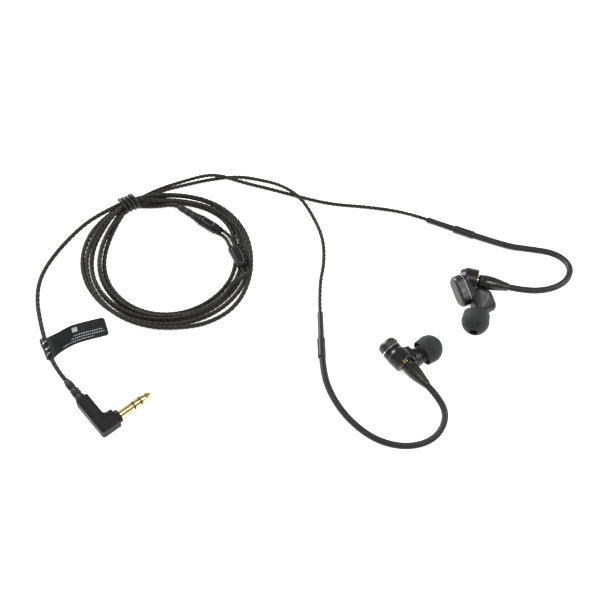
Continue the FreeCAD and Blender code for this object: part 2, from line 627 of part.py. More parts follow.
def split_and_slider():
    """Y-split, its strain relief, the slider and the two short leads that run through it."""
    end = Vector(*SPLIT_END)
    back = heading(SPLIT_YAW)
    along = Rotation(Vector(0, 0, 1), back)
    shoulder = end - back * size("split_cone")
    start = shoulder - back * size("split_length")
    split = fuse("y_split_body",
                 cylinder("y_split_barrel", "split_radius", "split_length", start, along),
                 cone("y_split_cone", "split_radius", "split_radius - relief_taper",
                      "split_cone", shoulder, along))
    keep("y_split_body", split)
    thin = start - back * size("relief_length")
    keep("y_split_relief", cone("y_split_relief", "relief_radius - relief_taper",
                                "relief_radius", "relief_length", thin, along))

    slider_dir = heading(SLIDER_YAW)
    across_split = Vector(-back.y, back.x, 0)
    across_slider = Vector(-slider_dir.y, slider_dir.x, 0)
    at = Vector(*SLIDER_AT)
    # The bend is where the split's axis meets the slider's axis.
    gap = at - end
    reach = (gap.x * slider_dir.y - gap.y * slider_dir.x) / (
        back.x * slider_dir.y - back.y * slider_dir.x)
    bend = end + back * reach
    far_end = at + slider_dir * size("stub_length")
    for name, sign in (("left", 1), ("right", -1)):
        offset = sign * size("lead_spacing") / 2
        shift = (across_split + across_slider).normalize()
        widen = offset / shift.dot(across_split)
        route = [end + across_split * offset, bend + shift * widen, far_end + across_slider * offset]
        tube(f"{name}_lead_end", [tuple(point) for point in route], size("lead_radius"))

    block = box("slider_block", "slider_length", "slider_width", "slider_depth",
                Vector(size("slider_start"), 0, 0))
    holes = [
        cylinder(f"slider_hole_{index}", "slider_bore", "slider_length + 2 * through",
                 Vector(0, sign * size("lead_spacing") / 2, 0))
        for index, sign in enumerate((1, -1))
    ]
    keep("cable_slider", cut("cable_slider", block, *holes), lie_along(SLIDER_AT, SLIDER_YAW))
    return thin, along


def coil_and_tie(thin, along):
    """The wound cord's outer shape, with room for the split and slider, and the tie."""
    tie_turn = Rotation(Vector(0, 0, 1), heading(TIE_YAW))
    tie_start = Vector(*TIE_AT, size("tie_radius")) - heading(TIE_YAW) * (size("tie_length") / 2)
    tie = cylinder("cord_tie", "tie_radius", "tie_length", tie_start, tie_turn)
    keep("cord_tie", tie)

    ring = ellipse_ring("coil_ring", ("coil_outer_long", "coil_outer_short"),
                        ("coil_inner_long", "coil_inner_short"), "coil_depth")
    ring.Placement.Base = Vector(*COIL_AT, 0)
    tie_room = cylinder("tie_space", "tie_radius + tie_room", "tie_length", tie_start, tie_turn)
    split_room = cylinder("split_space", "split_radius + split_room",
                          "relief_length + split_length + split_cone + 2 * through", thin, along)
    before = size("slider_room_before")
    slider_room = box("slider_space", "stub_length + slider_room_before",
                      "slider_width + slider_room", "slider_depth + slider_room_above",
                      Vector(-before, 0, size("slider_room_above") / 2))
    slider_room.Placement = lie_along(SLIDER_AT, SLIDER_YAW).multiply(slider_room.Placement)
    keep("cord_coil", cut("cord_coil", ring, tie_room, split_room, slider_room))


def tag():
    """A folded film flag on a sleeve round the main cord."""
    seat = lie_along(TAG_AT, TAG_YAW)
    sleeve = cylinder("tag_sleeve_block", "tag_sleeve", "tag_sleeve_length", Vector(0, 0, 0))
    flag = doc.addObject("Part::Box", "tag_flag")
    bind(flag, Length="tag_width", Width="tag_length", Height="tag_thickness")
    flag.Placement.Base = Vector((size("tag_sleeve_length") - size("tag_width")) / 2,
                                 -size("tag_length") - size("tag_clear"),
                                 -size("tag_thickness") / 2)
    bore = cylinder("tag_bore_hole", "tag_bore", "tag_sleeve_length", Vector(0, 0, 0))
    keep("cord_tag", cut("cord_tag", fuse("tag_solid", sleeve, flag), bore), seat)


# ---------------------------------------------------------------- build, check and write

for name, facts in EARPIECES.items():
    earpiece(name, **facts)
plug()
relief_end, split_turn = split_and_slider()
coil_and_tie(relief_end, split_turn)
tag()
tube("main_cord", MAIN_ROUTE, size("main_radius"))

doc.recompute()
for thing in doc.Objects:
    if "Invalid" in thing.State or "Error" in thing.State:
        raise RuntimeError(f"{thing.Name} failed: {thing.State}")
for node, thing in subparts.items():
    shape = thing.Shape
    if shape.isNull() or not shape.isValid() or shape.Volume <= 0:
        raise RuntimeError(f"{node} has no valid shape")
    if len(shape.Solids) != 1:
        print(f"{node}: {len(shape.Solids)} solids")
    shape.exportStep(f"parts/{node}.step")
print(f"{len(subparts)} nodes")
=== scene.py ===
"""Looks for the in-ear monitors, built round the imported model, which stays fixed.

In order: camera, light and floor, materials, cord routes, shape helpers, earpieces, then the
tie, split, slider, tag and plug relief. Lengths in tables and profiles are millimetres, apart
from radii and steps passed straight to a mesh helper, which are metres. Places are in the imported
model's own frame, and those that the part's source also holds are repeated here as numbers.
"""
import json
import math

import bmesh
import bpy
import numpy as np
from mathutils import Matrix, Vector


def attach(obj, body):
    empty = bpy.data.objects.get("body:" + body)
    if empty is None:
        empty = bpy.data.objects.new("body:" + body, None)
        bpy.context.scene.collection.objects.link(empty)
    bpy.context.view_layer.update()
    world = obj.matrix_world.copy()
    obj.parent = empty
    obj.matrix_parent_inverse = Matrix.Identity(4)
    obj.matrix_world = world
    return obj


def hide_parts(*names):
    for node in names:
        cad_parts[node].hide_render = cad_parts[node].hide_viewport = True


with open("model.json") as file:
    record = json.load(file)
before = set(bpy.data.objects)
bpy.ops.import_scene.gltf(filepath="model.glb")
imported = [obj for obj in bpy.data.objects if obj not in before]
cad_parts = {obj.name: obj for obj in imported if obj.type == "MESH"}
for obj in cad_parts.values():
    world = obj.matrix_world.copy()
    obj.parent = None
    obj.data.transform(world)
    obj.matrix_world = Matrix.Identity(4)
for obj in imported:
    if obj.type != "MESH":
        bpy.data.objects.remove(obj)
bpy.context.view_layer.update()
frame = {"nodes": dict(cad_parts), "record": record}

MM = 0.001


def metres(points):
    return [Vector(point) * MM for point in points]


# ---------------------------------------------------------------- camera, light and floor

CAMERA_TARGET = Vector((-55.6, 14.3, 0.0)) * MM
CAMERA_DISTANCE = 0.64
CAMERA_RISE = math.radians(60)
CAMERA_LENS = 100
LIGHT_AIM = (-0.05, 0.01, 0)
SKY_STRENGTH = 0.30
FLOOR_SIZE = 6
FLOOR_GLOW = 0.66


def add_camera():
    """A long lens from the near side, looking down at the middle of the whole object."""
    data = bpy.data.cameras.new("camera")
    data.lens = CAMERA_LENS
    data.sensor_width = 36
    data.clip_start = 0.01
    camera = bpy.data.objects.new("camera", data)
    back = Vector((0, -math.cos(CAMERA_RISE), math.sin(CAMERA_RISE)))
    camera.location = CAMERA_TARGET + back * CAMERA_DISTANCE
    camera.rotation_euler = (-back).to_track_quat("-Z", "Y").to_euler()
    bpy.context.scene.collection.objects.link(camera)
    bpy.context.scene.camera = camera


def area_light(name, place, aim, size, power):
    """A round soft light at a place, turned to its aim."""
    data = bpy.data.lights.new(name, "AREA")
    data.shape = "DISK"
    data.size = size
    data.energy = power
    light = bpy.data.objects.new(name, data)
    light.location = place
    light.rotation_euler = (Vector(aim) - Vector(place)).to_track_quat("-Z", "Y").to_euler()
    bpy.context.scene.collection.objects.link(light)


def add_light_and_floor():
    """A white room: a low key light, a fill, one from above, and a floor that stays white."""
    world = bpy.data.worlds.new("world")
    world.use_nodes = True
    background = world.node_tree.nodes["Background"]
    background.inputs["Color"].default_value = (1.0, 1.0, 1.0, 1.0)
    background.inputs["Strength"].default_value = SKY_STRENGTH
    bpy.context.scene.world = world
    area_light("key", (-0.55, 0.42, 0.30), LIGHT_AIM, 0.22, 6.0)
    area_light("fill", (0.50, 0.10, 0.38), LIGHT_AIM, 0.30, 2.6)
    area_light("over", (0.05, -0.20, 0.62), (-0.03, 0.0, 0), 0.22, 1.6)

    bpy.ops.mesh.primitive_plane_add(size=FLOOR_SIZE, location=(0, 0, 0))
    floor = bpy.context.object
    floor.name = "floor"
    paint = Material("floor_white", (0.92, 0.92, 0.92), 0.9)
    paint.shader.inputs["Emission Color"].default_value = (1.0, 1.0, 1.0, 1.0)
    paint.shader.inputs["Emission Strength"].default_value = FLOOR_GLOW
    floor.data.materials.append(paint.made)


# ---------------------------------------------------------------- materials

class Material:
    """A procedural material: one principled shader, with helpers for colour and bump noise."""

    def __init__(self, name, color, roughness, metallic=0.0, coat=0.0, sheen=0.0, specular=0.5):
        self.made = bpy.data.materials.new(name)
        self.made.use_nodes = True
        self.tree = self.made.node_tree
        self.shader = self.tree.nodes["Principled BSDF"]
        for socket, value in (
            ("Base Color", (*color, 1.0)), ("Roughness", roughness), ("Metallic", metallic),
            ("Coat Weight", coat), ("Coat Roughness", 0.12), ("Sheen Weight", sheen),
            ("Specular IOR Level", specular),
        ):
            self.shader.inputs[socket].default_value = value

    def node(self, kind, **values):
        """A new node, with each value set on its input of that name, or else on the node."""
        made = self.tree.nodes.new(kind)
        for name, value in values.items():
            if name in made.inputs:
                made.inputs[name].default_value = value
            else:
                setattr(made, name, value)
        return made

    def link(self, start, end):
        self.tree.links.new(start, end)

    def noise(self, scale, detail=3.0, stretch=(1, 1, 1)):
        place = self.node("ShaderNodeTexCoord")
        fit = self.node("ShaderNodeMapping", Scale=stretch)
        self.link(place.outputs["Object"], fit.inputs["Vector"])
        noise = self.node("ShaderNodeTexNoise", Scale=scale, Detail=detail)
        self.link(fit.outputs["Vector"], noise.inputs["Vector"])
        return noise.outputs["Fac"]

    def vary_color(self, fac, low, high):
        ramp = self.node("ShaderNodeValToRGB")
        ramp.color_ramp.elements[0].color = (*low, 1)
        ramp.color_ramp.elements[0].position = 0.35
        ramp.color_ramp.elements[1].color = (*high, 1)
        ramp.color_ramp.elements[1].position = 0.65
        self.link(fac, ramp.inputs["Fac"])
        self.link(ramp.outputs["Color"], self.shader.inputs["Base Color"])
        return self

    def vary_roughness(self, fac, low, high):
        spread = self.node("ShaderNodeMapRange")
        spread.inputs["To Min"].default_value = low
        spread.inputs["To Max"].default_value = high
        self.link(fac, spread.inputs["Value"])
        self.link(spread.outputs["Result"], self.shader.inputs["Roughness"])
        return self

    def bump(self, fac, strength, depth):
        bump = self.node("ShaderNodeBump", Strength=strength, Distance=depth)
        self.link(fac, bump.inputs["Height"])
        self.link(bump.outputs["Normal"], self.shader.inputs["Normal"])
        return self


def moulded(name, color, lighter, roughness, grain=9000, depth=0.00002, **more):
    """Moulded plastic or rubber: fine grain, slight colour and gloss variation."""
    made = Material(name, color, roughness, **more)
    fine = made.noise(grain)
    broad = made.noise(220, 2.0)
    made.vary_color(broad, color, lighter)
    made.vary_roughness(broad, roughness - 0.06, roughness + 0.08)
    made.bump(fine, 0.35, depth)
    return made.made


def metal(name, color, roughness, stretch=(1, 1, 1), scale=4000, depth=0.000004):
    """Bare or anodised metal: fine grain, drawn out along one axis where it is brushed."""
    made = Material(name, color, roughness, metallic=1.0)
    fine = made.noise(scale, stretch=stretch)
    made.vary_roughness(fine, max(0.05, roughness - 0.06), roughness + 0.1)
    made.bump(fine, 0.25, depth)
    return made.made


def woven(name, color, lighter, roughness, scale, depth):
    """Rubber or film with a fine diagonal texture."""
    made = Material(name, color, roughness, specular=0.35)
    place = made.node("ShaderNodeTexCoord")
    made.vary_color(made.noise(500, 2.0), color, lighter)
    bands = [
        made.node("ShaderNodeTexWave", Scale=scale, Distortion=0.6, bands_direction=way)
        for way in ("DIAGONAL", "Z")
    ]
    both = made.node("ShaderNodeMath", operation="MULTIPLY")
    for index, band in enumerate(bands):
        made.link(place.outputs["Object"], band.inputs["Vector"])
        made.link(band.outputs["Fac"], both.inputs[index])
    made.vary_roughness(both.outputs["Value"], roughness - 0.08, roughness + 0.08)
    made.bump(both.outputs["Value"], 0.5, depth)
    return made.made


def make_materials():
    """Every finish by its name, which is also the record's material slot where it has one."""
    black = (0.006, 0.006, 0.0065)
    return {
        "shell_dark": moulded("shell_dark", (0.007, 0.0065, 0.0065), (0.012, 0.0115, 0.0115), 0.33,
                              specular=0.4),
        "cover_brushed": metal("cover_brushed", (0.085, 0.082, 0.081), 0.40, (1, 14, 1), 2600,
                               0.000012),
        "trim_silver": metal("trim_silver", (0.66, 0.66, 0.68), 0.20),
        "mark_grey": moulded("mark_grey", (0.10, 0.10, 0.11), (0.14, 0.14, 0.15), 0.4),
        "driver_metal": metal("driver_metal", (0.6, 0.6, 0.62), 0.3, (1, 12, 1)),
        "circuit_board": moulded("circuit_board", (0.02, 0.12, 0.05), (0.03, 0.16, 0.07), 0.5),
        "nozzle_dark": moulded("nozzle_dark", black, (0.011, 0.011, 0.011), 0.3, specular=0.4),
        "screen_metal": metal("screen_metal", (0.25, 0.25, 0.26), 0.35),
        "damper_grey": moulded("damper_grey", (0.25, 0.25, 0.25), (0.35, 0.35, 0.35), 0.8),
        "tip_rubber": moulded("tip_rubber", (0.014, 0.0142, 0.015), (0.020, 0.0205, 0.0215), 0.66,
                              sheen=0.06, specular=0.3),
        "contact_gold": metal("contact_gold", (0.82, 0.60, 0.32), 0.17),
        "boot_black": moulded("boot_black", (0.008, 0.0073, 0.0070), (0.013, 0.0120, 0.0116),
                              0.30, specular=0.50, coat=0.25),
        "hook_rubber": woven("hook_rubber", (0.013, 0.013, 0.0135), (0.019, 0.019, 0.0195), 0.50,
                             900, 0.00004),
        "sleeve_black": moulded("sleeve_black", (0.010, 0.010, 0.0105), (0.015, 0.015, 0.0155),
                                0.42, specular=0.4),
        "cord_jacket": moulded("cord_jacket", (0.016, 0.0135, 0.012), (0.025, 0.0215, 0.019),
                               0.54, specular=0.25),
        "plug_black": moulded("plug_black", (0.0055, 0.0055, 0.006), (0.009, 0.009, 0.0095),
                              0.46, specular=0.22),
        # Light grey for the thin rims of the slider and the Y-split: a painted edge highlight.
        "painted_edge_highlight": moulded("painted_edge_highlight", (0.045, 0.042, 0.040), (0.075, 0.070, 0.067), 0.35),
        "relief_rubber": moulded("relief_rubber", (0.010, 0.010, 0.010), (0.015, 0.015, 0.015),
                                 0.5, specular=0.35),
        "insulator_black": moulded("insulator_black", black, (0.010, 0.010, 0.010), 0.4),
        "tie_black": moulded("tie_black", (0.009, 0.0085, 0.0085), (0.015, 0.014, 0.014), 0.42,
                             specular=0.4),
        "tag_film": moulded("tag_film", (0.0075, 0.0078, 0.0085), (0.011, 0.0113, 0.012), 0.44,
                            specular=0.25),
        # Light grey for strokes on the tag's wrap: painted highlights.
        "tag_clear": moulded("tag_clear", (0.30, 0.30, 0.31), (0.42, 0.42, 0.43), 0.16, coat=0.6),
        "tag_print": moulded("tag_print", (0.30, 0.30, 0.31), (0.40, 0.40, 0.41), 0.5),
    }


# ---------------------------------------------------------------- cord routes

# The leads from the sleeves to the tie, and the main cord from the tie to the plug. The main
# cord's points are the part's own; the leads' are moved a little where they cross.
LEAD_ROUTES = {
    "left": [
        (-5.55, 50.0, 1.55), (-13.9, 53.4, 1.55), (-28.3, 56.4, 0.75), (-43.3, 57.7, 0.75),
        (-55.3, 61.1, 0.75), (-67.8, 65.1, 0.75), (-79.3, 68.3, 0.9), (-86.5, 70.2, 2.5),
        (-93.0, 70.6, 2.5), (-103.0, 68.3, 0.95), (-112.0, 63.2, 3.2), (-118.9, 59.0, 3.2),
    ],
    "right": [
        (-47.9, 8.0, 1.55), (-48.2, 19.3, 1.55), (-46.1, 30.8, 0.75), (-46.5, 41.8, 0.75),
        (-50.3, 52.0, 0.75), (-55.8, 60.4, 2.7), (-63.3, 65.7, 2.7), (-71.3, 69.4, 0.75),
        (-80.8, 71.2, 0.75), (-92.3, 69.4, 0.75), (-103.4, 66.3, 0.9), (-112.4, 61.6, 3.2),
        (-119.3, 58.0, 3.2),
    ],
}
MAIN_ROUTE = [
    (-127.7, 55.2, 3.2), (-135.0, 51.0, 3.2), (-142.0, 46.4, 1.2), (-150.3, 35.8, 0.9),
    (-155.9, 24.8, 0.9), (-156.7, 14.3, 0.9), (-154.0, 2.4, 0.9), (-150.7, -7.8, 1.0),
    (-146.9, -16.6, 3.0), (-142.8, -21.7, 3.0),
]
TIE_AT = Vector((-123.2, 56.4, 3.4))
TIE_YAW = math.radians(30)
COIL_AT = Vector((-107.2, 31.3, 0))
COIL_MIDDLE = (29.2, 26.8)
COIL_START = math.radians(103)
TIE_REACH = 0.33
SPLIT_END = Vector((-86.7, 43.4, 3.0))
SPLIT_YAW = math.radians(-35)
SPLIT_LENGTH = 20.5
SLIDER_AT = Vector((-81.9, 37.0, 3.0))
SLIDER_YAW = math.radians(-65)
SLIDER_LENGTH = 10.0
LEAD_SPACING = 1.9
TIE_ANGLE = math.atan2(TIE_AT.y - COIL_AT.y, TIE_AT.x - COIL_AT.x)
TIE_TURN = TIE_ANGLE / (2 * math.pi)
POINTS_PER_TURN = 18
MAIN_TURNS = 5


def heading(yaw):
    return Vector((math.cos(yaw), math.sin(yaw), 0))


def on_coil(angle, outward, height):
    """A point of the coil, by its angle, and how far it is outside the coil's middle line."""
    long_side, short_side = COIL_MIDDLE
    reach = 1 / math.hypot(math.cos(angle) / long_side, math.sin(angle) / short_side)
    return COIL_AT + heading(angle) * (reach + outward) + Vector((0, 0, height))


def bell(angle, centre, width):
    """1 at the centre angle, falling to 0 about a width away."""
    gap = (angle - centre + math.pi) % (2 * math.pi) - math.pi
    return math.exp(-(gap / width) ** 2)


def coil_point(angle, outward, height, tie_place):
    """One point of a turn, gathered where the tie holds it."""
    tied = bell(angle, TIE_ANGLE, TIE_REACH)
    spot = on_coil(angle, outward, height)
    held = on_coil(angle, tie_place[0] * 0.85 + 2.3, 3.3 + (tie_place[1] - 3.0) * 0.8)
    return spot.lerp(held, tied)


def smooth(value):
    """0 to 1, easing in and out, and held outside that."""
    value = min(1.0, max(0.0, value))
    return value * value * (3 - 2 * value)


# Where each pass of the cord lies, outside the coil's middle line: at the right, the upper
# right, the top, the left, the bottom and the lower right. Then its height, and its place
# across and up inside the tie.
LANE_ANGLES = (0, 45, 90, 180, 270, 315, 360)
MAIN_PASSES = [
    ((0, 0, -3.2, -4.4, -2.6, -2.9), 0.9, (-1.6, 1.6)),
    ((-2.2, 1.4, 0.4, -2.5, -0.9, -1.2), 0.95, (0.2, 1.0)),
    ((0.2, 2.6, 1.3, 0.6, 0.7, 0.9), 0.9, (-0.9, 3.2)),
    ((1.9, 3.7, 3.0, 4.2, 2.6, 3.4), 0.95, (1.8, 1.8)),
    ((3.6, 1.9, -0.6, 2.4, 4.0, 6.6), 2.3, (0.6, 2.8)),
    ((3.9, 4.2, 3.1, 1.0, 0.0, 0.0), 2.5, (0.9, 4.6)),
    ((2.0, 3.4, 2.6, 2.0, 0.0, 0.0), 2.5, (0.9, 4.6)),
]
LEAD_PASSES = {
    "left": ((-1.2, 0, 0, -3.6, -1.7, -0.4), 2.3, (-1.9, 3.0)),
    "right": ((-1.2, 0, 0, 1.6, 1.2, 1.6), 2.4, (-0.3, 4.9)),
}


def lane_at(passes, turned):
    """Distance outside the middle line, after so many turns from the coil's right side."""
    lap = int(turned)
    here = passes[min(lap, len(passes) - 1)][0]
    after = passes[min(lap + 1, len(passes) - 1)][0]
    lanes = (*here, after[0])
    degrees = (turned - lap) * 360
    for first, (low, high) in enumerate(zip(LANE_ANGLES, LANE_ANGLES[1:])):
        if degrees <= high:
            step = smooth((degrees - low) / (high - low))
            return lanes[first] + (lanes[first + 1] - lanes[first]) * step
    return lanes[-1]


def main_cord_points():
    """From the Y-split's relief, five turns and a bit round the coil, then on to the plug."""
    back = heading(SPLIT_YAW)
    relief_end = SPLIT_END - back * SPLIT_LENGTH
    points = [relief_end, relief_end - back * 2.5 + Vector((0, 0, -0.2))]
    start = COIL_START
    end = TIE_ANGLE + 2 * math.pi * MAIN_TURNS
    count = int((end - start) / (2 * math.pi) * POINTS_PER_TURN)
    for index in range(count + 1):
        angle = start + (end - start) * index / count
        turned = angle / (2 * math.pi)
        # A pass takes the next one's height and place in the tie as it goes round the far side.
        lap = int(turned - TIE_TURN + 1)
        step = smooth((turned - TIE_TURN + 1 - lap) * 2 - 0.5)
        first, second = MAIN_PASSES[lap], MAIN_PASSES[min(lap + 1, len(MAIN_PASSES) - 1)]
        height = first[1] + (second[1] - first[1]) * step
        place = [near + (far - near) * step for near, far in zip(first[2], second[2])]
        points.append(coil_point(angle, lane_at(MAIN_PASSES, turned), height, place))
    points += [Vector(point) for point in MAIN_ROUTE[1:]]
    return [point * MM for point in points]


def split_bend():
    """Where the Y-split's axis meets the slider's axis."""
    back, along = heading(SPLIT_YAW), heading(SLIDER_YAW)
    gap = SLIDER_AT - SPLIT_END
    reach = (gap.x * along.y - gap.y * along.x) / (back.x * along.y - back.y * along.x)
    return SPLIT_END + back * reach


def lead_points(side):
    """From the sleeve, through the tie, partly round the coil, and up through the slider."""
    points = [Vector(point) for point in LEAD_ROUTES[side]]
    _, height, tie_place = LEAD_PASSES[side]
    sign = {"left": 1, "right": -1}[side]
    start, end = TIE_ANGLE + 0.1, math.radians(360 - 20)
    count = int((end - start) / (2 * math.pi) * POINTS_PER_TURN)
    for index in range(count + 1):
        angle = start + (end - start) * index / count
        rise = height + (3.4 - height) * smooth(index / count * 2 - 1)
        outward = lane_at([LEAD_PASSES[side]] * 2, angle / (2 * math.pi)) + sign * 0.8
        points.append(coil_point(angle, outward, rise, tie_place))
    along, back = heading(SLIDER_YAW), heading(SPLIT_YAW)
    across = Vector((-along.y, along.x, 0)) * sign * LEAD_SPACING / 2
    beside = Vector((-back.y, back.x, 0)) * sign * LEAD_SPACING / 2
    for reach in (SLIDER_LENGTH + 5.0, SLIDER_LENGTH + 0.6, 0.6, -1.6):
        points.append(SLIDER_AT + along * reach + across)
    points.append(split_bend() + (across + beside) / 2)
    points.append(SPLIT_END + beside)
    return [point * MM for point in points]


def route_curve(name, points):
    """The route as one open NURBS spline."""
    curve = bpy.data.curves.new(name, "CURVE")
    curve.dimensions = "3D"
    curve.resolution_u = 10
    spline = curve.splines.new("NURBS")
    spline.points.add(len(points) - 1)
    for made, point in zip(spline.points, points):
        made.co = (*point, 1)
    spline.order_u = 3
    spline.use_endpoint_u = True
    return bpy.data.objects.new(name, curve)


def line_of(route):
    """The points along a route's spline, as Blender draws it, evenly spaced."""
    bpy.context.scene.collection.objects.link(route)
    bpy.context.view_layer.update()
    drawn = bpy.data.meshes.new_from_object(route)
    line = np.array([vertex.co for vertex in drawn.vertices])
    bpy.data.meshes.remove(drawn)
    bpy.data.objects.remove(route)
    return line


def evenly(line, step):
    """The line again with points a step apart, and each point's distance along it."""
    lengths = np.concatenate([[0], np.cumsum(np.linalg.norm(np.diff(line, axis=0), axis=1))])
    count = int(round(lengths[-1] / step)) + 1
    at = np.linspace(0, lengths[-1], count)
    return np.stack([np.interp(at, lengths, line[:, axis]) for axis in range(3)], axis=1), at


def carried_frames(line):
    """Tangents, and two directions across that don't spin as they follow the line."""
    tangents = np.gradient(line, axis=0)
    tangents /= np.linalg.norm(tangents, axis=1)[:, None]
    side = np.cross(tangents[0], (0, 0, 1.0))
    side /= np.linalg.norm(side)
    sides = []
    for tangent in tangents:
        side = side - tangent * np.dot(side, tangent)
        side /= np.linalg.norm(side)
        sides.append(side)
    sides = np.array(sides)
    return tangents, sides, np.cross(tangents, sides)


def skin(rings, around, base=0, ends=True):
    """Faces between rings of vertices, in order, with a face over each end."""
    faces = []
    for ring in range(rings - 1):
        for corner in range(around):
            first = base + ring * around + corner
            second = base + ring * around + (corner + 1) % around
            faces.append((first, second, second + around, first + around))
    last = base + (rings - 1) * around
    if ends:
        faces.append(tuple(reversed(range(base, base + around))))
        faces.append(tuple(range(last, last + around)))
    return faces


def ring_of(centre, right, up, radius, around):
    """Points of a circle, in the plane of two directions."""
    angles = (2 * math.pi * corner / around for corner in range(around))
    return [centre + radius * (math.cos(angle) * right + math.sin(angle) * up)
            for angle in angles]


def twisted_mesh(name, line, strands, strand_radius, offset, pitch, step=0.00045, around=8):
    """Round strands twisted about the line, as one mesh with closed ends."""
    centre, at = evenly(line, step)
    _, sides, ups = carried_frames(centre)
    vertices, faces = [], []
    for strand in range(strands):
        turn = 2 * math.pi * (at / pitch + strand / strands)
        path = centre + offset * (np.cos(turn)[:, None] * sides + np.sin(turn)[:, None] * ups)
        _, across, over = carried_frames(path)
        base = len(vertices)
        for point, right, up in zip(path, across, over):
            vertices += ring_of(point, right, up, strand_radius, around)
        faces += skin(len(path), around, base)
    return smooth_mesh(name, vertices, faces), centre


def smooth_mesh(name, vertices, faces):
    """A new smooth-shaded object in the scene."""
    mesh = bpy.data.meshes.new(name)
    mesh.from_pydata([tuple(vertex) for vertex in vertices], [], faces)
    mesh.polygons.foreach_set("use_smooth", [True] * len(mesh.polygons))
    mesh.update()
    piece = bpy.data.objects.new(name, mesh)
    bpy.context.scene.collection.objects.link(piece)
    return piece


def dress(piece, slot, body="cable"):
    """Give the piece one finish, and let it ride on a body."""
    piece.data.materials.clear()
    piece.data.materials.append(MATERIALS[slot])
    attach(piece, body)
    return piece


def line_length(line):
    """A line's length, point to point."""
    return float(np.linalg.norm(np.diff(line, axis=0), axis=1).sum())


def add_cords():
    """Both leads and the main cord, each twisted."""
    for side in ("left", "right"):
        points = lead_points(side)
        line = line_of(route_curve(f"{side}_lead_route", points))
        piece, path = twisted_mesh(f"lead_{side}", line, 3, 0.00042, 0.00033, 0.0056)
        dress(piece, "cord_jacket")
        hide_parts(f"{side}_lead", f"{side}_lead_end")
    points = main_cord_points()
    line = line_of(route_curve("main_route", points))
    piece, path = twisted_mesh("cord_main", line, 4, 0.00046, 0.00043, 0.0085)
    dress(piece, "cord_jacket")
    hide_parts("main_cord", "cord_coil")


# ---------------------------------------------------------------- shapes for the pieces

def place_along(at, direction, up=(0, 0, 1)):
    """A matrix whose X axis is the direction, with its origin at a point, in metres."""
    along = Vector(direction).normalized()
    side = Vector(up).cross(along).normalized()
    over = along.cross(side)
    turn = Matrix((along, side, over)).transposed().to_4x4()
    return Matrix.Translation(at) @ turn


def turned(profile, place, around):
    """Vertices of a profile turned round the place's X axis, ring by ring."""
    vertices = []
    for along, radius in profile:
        for corner in range(around):
            angle = 2 * math.pi * corner / around
            spot = Vector((along, radius * math.cos(angle), radius * math.sin(angle))) * MM
            vertices.append(place @ spot)
    return vertices


def lathe(name, profile, place, around=56):
    """A turned piece: (along, radius) pairs in millimetres, round the place's X axis."""
    return crisp(smooth_mesh(name, turned(profile, place, around), skin(len(profile), around)))


def crisp(piece, degrees=38):
    """Smooth shading that breaks at the piece's real edges."""
    piece.data.set_sharp_from_angle(angle=math.radians(degrees))
    return piece


def softened(profile, cut=0.18, rounds=2):
    """The profile with its corners cut off a little, so that they catch the light."""
    for _ in range(rounds):
        cut_profile = [profile[0]]
        for (x0, r0), (x1, r1) in zip(profile, profile[1:]):
            share = min(0.5, cut / max(1e-6, math.hypot(x1 - x0, r1 - r0)))
            cut_profile += [(x0 + (x1 - x0) * share, r0 + (r1 - r0) * share),
                            (x1 + (x0 - x1) * share, r1 + (r0 - r1) * share)]
        profile = cut_profile + [profile[-1]]
        cut /= 2.5
    return profile


def tube_mesh(name, line, radius, around=16, step=0.0005):
    """A round tube along a line, closed at both ends."""
    centre, _ = evenly(line, step)
    _, sides, ups = carried_frames(centre)
    vertices = []
    for point, side, up in zip(centre, sides, ups):
        vertices += ring_of(point, side, up, radius, around)
    return crisp(smooth_mesh(name, vertices, skin(len(centre), around)))


def join(name, pieces):
    """One mesh from several, each with its own material."""
    made = bmesh.new()
    materials = []
    for piece in pieces:
        start = len(made.faces)
        made.from_mesh(piece.data)
        made.faces.ensure_lookup_table()
        for face in made.faces[start:]:
            face.material_index = len(materials)
        materials.append(piece.data.materials[0] if piece.data.materials else None)
        bpy.data.objects.remove(piece)
    mesh = bpy.data.meshes.new(name)
    made.to_mesh(mesh)
    made.free()
    joined = bpy.data.objects.new(name, mesh)
    for paint in materials:
        mesh.materials.append(paint)
    bpy.context.scene.collection.objects.link(joined)
    return joined


def rounded_block(name, place, size, bevel, taper=1.0):
    """A block with rounded edges: size in millimetres, its middle at the place's origin."""
    made = bmesh.new()
    bmesh.ops.create_cube(made, size=1.0)
    for vertex in made.verts:
        narrow = taper if vertex.co.x > 0 else 1.0
        vertex.co = Vector((vertex.co.x * size[0], vertex.co.y * size[1] * narrow,
                            vertex.co.z * size[2]))
    bmesh.ops.bevel(made, geom=list(made.edges), offset=bevel, segments=4, profile=0.6,
                    affect="EDGES")
    for vertex in made.verts:
        vertex.co = place @ (vertex.co * MM)
    mesh = bpy.data.meshes.new(name)
    made.to_mesh(mesh)
    made.free()
    piece = bpy.data.objects.new(name, mesh)
    mesh.polygons.foreach_set("use_smooth", [True] * len(mesh.polygons))
    bpy.context.scene.collection.objects.link(piece)
    return crisp(piece, 30)


# ---------------------------------------------------------------- earpieces

